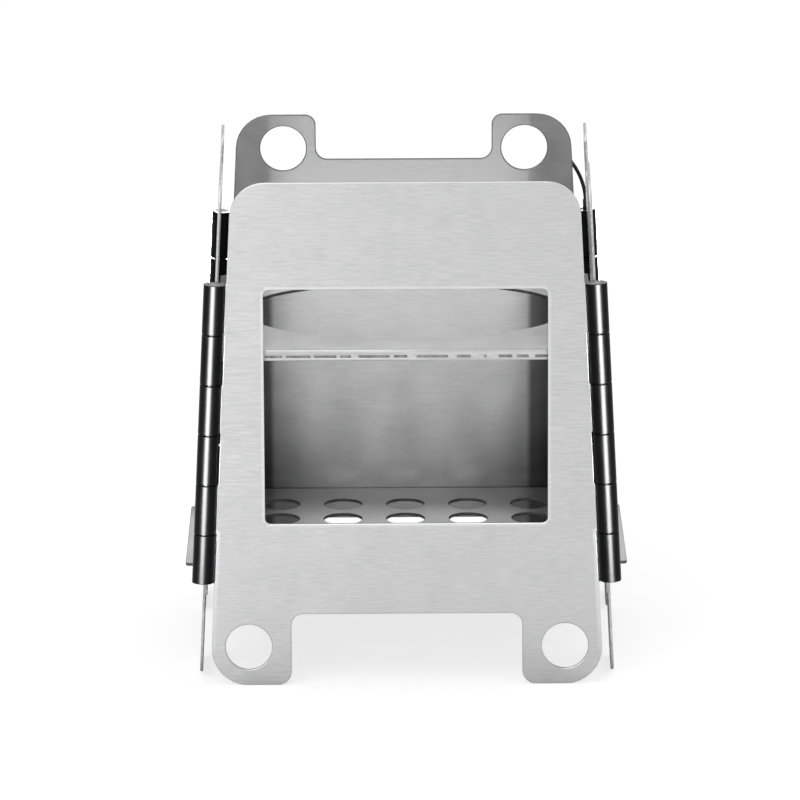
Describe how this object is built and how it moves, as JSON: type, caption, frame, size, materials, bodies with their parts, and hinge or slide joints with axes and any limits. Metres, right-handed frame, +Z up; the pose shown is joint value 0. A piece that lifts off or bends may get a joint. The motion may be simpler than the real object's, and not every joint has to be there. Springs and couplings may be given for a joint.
{
  "type": "folding camp stove",
  "caption": "Folding sheet-metal camp stove with leaning hinged panels, a front fuel window, a perforated floor plate and an upper pot plate",
  "frame": {"origin": "on the ground plane, under the middle of the stove, midway between the four corner hinges", "axes": "+Z up, +Y from the front panel with the window to the back panel, +X to the right seen from the front"},
  "size_m": [0.1128, 0.0892, 0.1299],
  "materials": {
    "panel_metal": "brushed bare metal, horizontal grain",
    "plate_metal": "brushed bare metal",
    "barrel_metal": "dark polished metal",
    "pin_metal": "drawn wire"
  },
  "bodies": {
    "front": {"front_panel": "panel_metal", "floor_plate": "plate_metal", "upper_plate": "plate_metal", "front_left_pin": "pin_metal", "front_right_pin": "pin_metal", "front_left_knuckle_1": "barrel_metal", "front_left_knuckle_3": "barrel_metal", "front_left_knuckle_5": "barrel_metal", "front_right_knuckle_1": "barrel_metal", "front_right_knuckle_3": "barrel_metal", "front_right_knuckle_5": "barrel_metal"},
    "left": {"left_panel": "panel_metal", "back_left_pin": "pin_metal", "front_left_knuckle_2": "barrel_metal", "front_left_knuckle_4": "barrel_metal", "front_left_knuckle_6": "barrel_metal", "back_left_knuckle_2": "barrel_metal", "back_left_knuckle_4": "barrel_metal", "back_left_knuckle_6": "barrel_metal"},
    "right": {"right_panel": "panel_metal", "front_right_knuckle_2": "barrel_metal", "front_right_knuckle_4": "barrel_metal", "front_right_knuckle_6": "barrel_metal", "back_right_knuckle_2": "barrel_metal", "back_right_knuckle_4": "barrel_metal", "back_right_knuckle_6": "barrel_metal"},
    "back": {"back_panel": "panel_metal", "back_left_knuckle_1": "barrel_metal", "back_left_knuckle_3": "barrel_metal", "back_left_knuckle_5": "barrel_metal", "back_right_knuckle_1": "barrel_metal", "back_right_knuckle_3": "barrel_metal", "back_right_knuckle_5": "barrel_metal"},
    "lock": {"locking_pin": "pin_metal"}
  },
  "joints": [
    {"name": "left_hinge", "type": "hinge", "parent": "front", "child": "left", "pos_m": [-0.053, -0.043, 0], "axis": [0.0499, 0.0405, 0.9979], "range_deg": [0, 90]},
    {"name": "right_hinge", "type": "hinge", "parent": "front", "child": "right", "pos_m": [0.053, -0.043, 0], "axis": [0.0499, -0.0405, -0.9979], "range_deg": [0, 90]},
    {"name": "back_hinge", "type": "hinge", "parent": "left", "child": "back", "pos_m": [-0.053, 0.043, 0], "axis": [0.0499, -0.0405, 0.9979], "range_deg": [0, 90]},
    {"name": "lock_slide", "type": "slide", "parent": "back", "child": "lock", "axis": [-0.0499, -0.0405, 0.9979], "range_m": [0, 0.09]}
  ]
}
